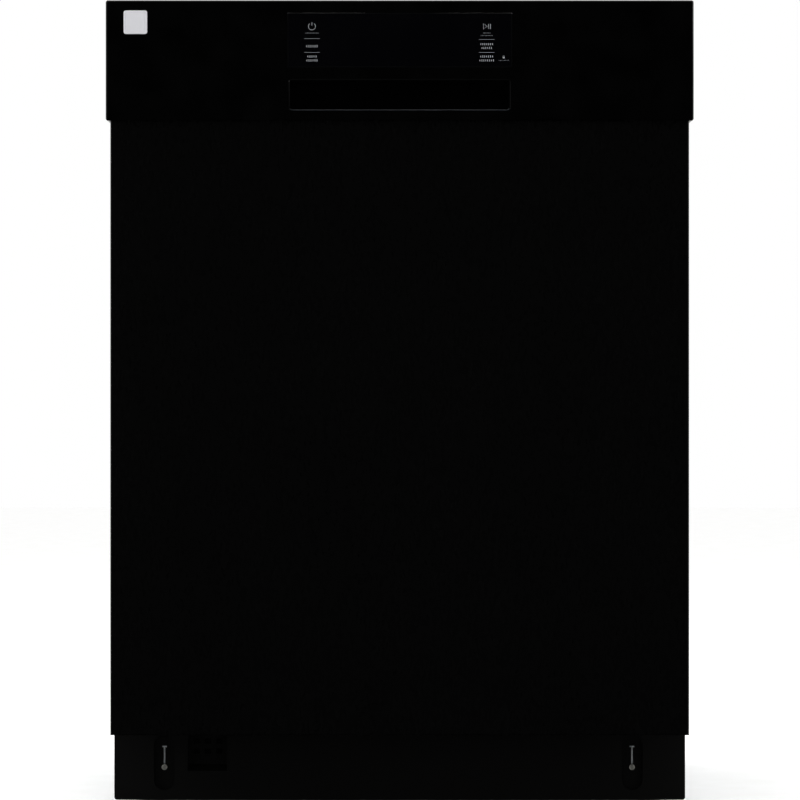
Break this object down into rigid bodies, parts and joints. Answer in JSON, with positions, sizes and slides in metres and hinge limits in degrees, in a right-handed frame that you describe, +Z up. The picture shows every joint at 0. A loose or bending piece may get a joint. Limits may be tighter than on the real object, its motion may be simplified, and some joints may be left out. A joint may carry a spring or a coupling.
{
  "type": "built-in dishwasher",
  "caption": "Built-in dishwasher with black door, front console with pocket handle and touch window, folding door, sliding racks, spray arms and pumps.",
  "frame": {"origin": "on the floor, under the centre of the machine's own box", "axes": "+Z up, +X to the right seen from the front, the door faces -Y"},
  "size_m": [0.6, 0.62, 0.825],
  "materials": {
    "black_enamel": "satin, fine texture",
    "black_panel": "hard coated, printed legends",
    "black_rubber": "moulded",
    "bright_aluminium": "brushed",
    "circuit_board": "laminate",
    "dark_plastic": "moulded",
    "felt": "needled mat",
    "filter_steel": "perforated",
    "galvanised": "galvanised",
    "gloss_black": "gloss moulded",
    "grey_plastic": "moulded",
    "hose_rubber": "moulded hose",
    "matt_black_paint": "matt",
    "pump_plastic": "glass filled",
    "rack_coating": "dipped coating on wire",
    "sound_mat": "bituminous mat",
    "spring_steel": "drawn",
    "stainless": "brushed",
    "white_plastic": "moulded",
    "zinc_plated": "zinc plated"
  },
  "bodies": {
    "cabinet": {"base_frame": "galvanised", "door_gasket": "black_rubber", "door_strike": "zinc_plated", "drain_pump_housing": "pump_plastic", "feed_pipe": "grey_plastic", "filter_plate": "filter_steel", "front_frame": "stainless", "heating_element": "stainless", "inlet_valve": "pump_plastic", "insulation_blanket": "felt", "internal_hoses": "hose_rubber", "kick_screws": "zinc_plated", "mounting_brackets": "galvanised", "sump": "grey_plastic", "toe_kick": "matt_black_paint", "tub": "stainless", "tub_floor": "stainless", "upper_rail_guides": "grey_plastic", "wash_pump_housing": "pump_plastic", "water_inlet_box": "white_plastic"},
    "cup_shelf_left": {"cup_shelf_left": "rack_coating"},
    "cup_shelf_right": {"cup_shelf_right": "rack_coating"},
    "cutlery_basket": {"cutlery_basket": "grey_plastic"},
    "dispenser_lid": {"dispenser_lid": "grey_plastic"},
    "filter_cylinder": {"filter_cylinder": "grey_plastic"},
    "float": {"float": "white_plastic"},
    "latch_hook": {"latch_hook": "zinc_plated"},
    "leg_front_left": {"leg_front_left": "zinc_plated"},
    "leg_front_right": {"leg_front_right": "zinc_plated"},
    "leg_rear_left": {"leg_rear_left": "zinc_plated"},
    "leg_rear_right": {"leg_rear_right": "zinc_plated"},
    "lower_spray_arm": {"lower_spray_arm": "grey_plastic"},
    "mid_spray_arm": {"mid_spray_arm": "grey_plastic"},
    "top_spray_arm": {"top_spray_arm": "grey_plastic"},
    "lower_wheels_front": {"lower_wheels_front": "grey_plastic"},
    "lower_wheels_rear": {"lower_wheels_rear": "grey_plastic"},
    "upper_wheels_front": {"upper_wheels_front": "grey_plastic"},
    "upper_wheels_rear": {"upper_wheels_rear": "grey_plastic"},
    "rinse_aid_cap": {"rinse_aid_cap": "grey_plastic"},
    "tine_row_left": {"tine_row_left": "rack_coating"},
    "tine_row_right": {"tine_row_right": "rack_coating"},
    "wash_rotor": {"wash_rotor": "dark_plastic"},
    "drain_rotor": {"drain_rotor": "dark_plastic"},
    "upper_rails": {"upper_rails": "stainless"},
    "lower_rack": {"lower_rack": "rack_coating"},
    "upper_rack": {"upper_rack": "rack_coating", "mid_feed_tube": "grey_plastic"},
    "door": {"door_skin": "black_enamel", "door_sound_pad": "sound_mat", "door_liner": "stainless", "console": "gloss_black", "touch_panel": "black_panel", "badge": "bright_aluminium", "handle_pocket": "gloss_black", "control_board": "circuit_board", "hinge_arms": "zinc_plated", "hinge_springs": "spring_steel", "dispenser_body": "grey_plastic", "latch_body": "dark_plastic"}
  },
  "joints": [
    {"name": "door_hinge", "type": "hinge", "parent": "cabinet", "child": "door", "pos_m": [0, -0.27, 0.1], "axis": [1, 0, 0], "range_deg": [0, 90], "stiffness_Nm_per_rad": 20, "springref_deg": -5.73},
    {"name": "upper_rails_slide", "type": "slide", "parent": "cabinet", "child": "upper_rails", "axis": [0, -1, 0], "range_m": [0, 0.226]},
    {"name": "upper_rack_slide", "type": "slide", "parent": "upper_rails", "child": "upper_rack", "axis": [0, -1, 0], "range_m": [0, 0.226]},
    {"name": "lower_rack_slide", "type": "slide", "parent": "cabinet", "child": "lower_rack", "axis": [0, -1, 0], "range_m": [0, 0.221]},
    {"name": "upper_wheels_front_spin", "type": "hinge", "parent": "upper_rack", "child": "upper_wheels_front", "pos_m": [0, 0.005, 0.536], "axis": [1, 0, 0], "continuous": true},
    {"name": "upper_wheels_rear_spin", "type": "hinge", "parent": "upper_rack", "child": "upper_wheels_rear", "pos_m": [0, 0.225, 0.536], "axis": [1, 0, 0], "continuous": true},
    {"name": "lower_wheels_front_spin", "type": "hinge", "parent": "lower_rack", "child": "lower_wheels_front", "pos_m": [0, -0.02, 0.1542], "axis": [1, 0, 0], "continuous": true},
    {"name": "lower_wheels_rear_spin", "type": "hinge", "parent": "lower_rack", "child": "lower_wheels_rear", "pos_m": [0, 0.2, 0.1542], "axis": [1, 0, 0], "continuous": true},
    {"name": "lower_arm_spin", "type": "hinge", "parent": "cabinet", "child": "lower_spray_arm", "pos_m": [0, 0.03, 0.153], "axis": [0, 0, 1], "continuous": true},
    {"name": "mid_arm_spin", "type": "hinge", "parent": "upper_rack", "child": "mid_spray_arm", "pos_m": [0, 0.03, 0.447], "axis": [0, 0, 1], "continuous": true},
    {"name": "top_arm_spin", "type": "hinge", "parent": "cabinet", "child": "top_spray_arm", "pos_m": [0, 0.03, 0.771], "axis": [0, 0, 1], "continuous": true},
    {"name": "cup_shelf_left_fold", "type": "hinge", "parent": "upper_rack", "child": "cup_shelf_left", "pos_m": [-0.2405, 0, 0.5445], "axis": [0, -1, 0], "range_deg": [0, 85]},
    {"name": "cup_shelf_right_fold", "type": "hinge", "parent": "upper_rack", "child": "cup_shelf_right", "pos_m": [0.2405, 0, 0.5445], "axis": [0, 1, 0], "range_deg": [0, 85]},
    {"name": "tine_row_left_fold", "type": "hinge", "parent": "lower_rack", "child": "tine_row_left", "pos_m": [-0.112, 0, 0.179], "axis": [0, 1, 0], "range_deg": [0, 85]},
    {"name": "tine_row_right_fold", "type": "hinge", "parent": "lower_rack", "child": "tine_row_right", "pos_m": [0.062, 0, 0.179], "axis": [0, 1, 0], "range_deg": [0, 85]},
    {"name": "cutlery_basket_lift", "type": "slide", "parent": "lower_rack", "child": "cutlery_basket", "axis": [0, 0, 1], "range_m": [0, 0.06]},
    {"name": "filter_twist", "type": "hinge", "parent": "cabinet", "child": "filter_cylinder", "pos_m": [0, -0.038, 0.1], "axis": [0, 0, 1], "range_deg": [0, 60]},
    {"name": "float_lift", "type": "slide", "parent": "cabinet", "child": "float", "axis": [0, 0, 1], "range_m": [0, 0.008]},
    {"name": "dispenser_lid_slide", "type": "slide", "parent": "door", "child": "dispenser_lid", "axis": [0, 0, -1], "range_m": [0, 0.062]},
    {"name": "rinse_aid_cap_twist", "type": "hinge", "parent": "door", "child": "rinse_aid_cap", "pos_m": [0.045, -0.246, 0.465], "axis": [0, 1, 0], "range_deg": [0, 90]},
    {"name": "latch_hook_pivot", "type": "hinge", "parent": "door", "child": "latch_hook", "pos_m": [0, -0.276, 0.815], "axis": [1, 0, 0], "range_deg": [0, 15], "stiffness_Nm_per_rad": 0.05, "springref_deg": -17.19},
    {"name": "wash_pump_spin", "type": "hinge", "parent": "cabinet", "child": "wash_rotor", "pos_m": [0.17, 0, 0.084], "axis": [1, 0, 0], "continuous": true},
    {"name": "drain_pump_spin", "type": "hinge", "parent": "cabinet", "child": "drain_rotor", "pos_m": [-0.13, 0.04, 0.078], "axis": [1, 0, 0], "continuous": true},
    {"name": "leg_front_left_screw", "type": "slide", "parent": "cabinet", "child": "leg_front_left", "axis": [0, 0, -1], "range_m": [0, 0.03]},
    {"name": "leg_front_right_screw", "type": "slide", "parent": "cabinet", "child": "leg_front_right", "axis": [0, 0, -1], "range_m": [0, 0.03]},
    {"name": "leg_rear_left_screw", "type": "slide", "parent": "cabinet", "child": "leg_rear_left", "axis": [0, 0, -1], "range_m": [0, 0.03]},
    {"name": "leg_rear_right_screw", "type": "slide", "parent": "cabinet", "child": "leg_rear_right", "axis": [0, 0, -1], "range_m": [0, 0.03]}
  ],
  "couplings": [
    {"joint": "upper_rails_slide", "follows": "door_hinge", "m_per_rad": 0.1432},
    {"joint": "upper_rack_slide", "follows": "door_hinge", "m_per_rad": 0.1432},
    {"joint": "lower_rack_slide", "follows": "door_hinge", "m_per_rad": 0.14},
    {"joint": "upper_wheels_front_spin", "follows": "door_hinge", "ratio": 15.074},
    {"joint": "lower_wheels_front_spin", "follows": "door_hinge", "ratio": 7.7778},
    {"joint": "upper_wheels_rear_spin", "follows": "door_hinge", "ratio": 15.074},
    {"joint": "lower_wheels_rear_spin", "follows": "door_hinge", "ratio": 7.7778}
  ]
}
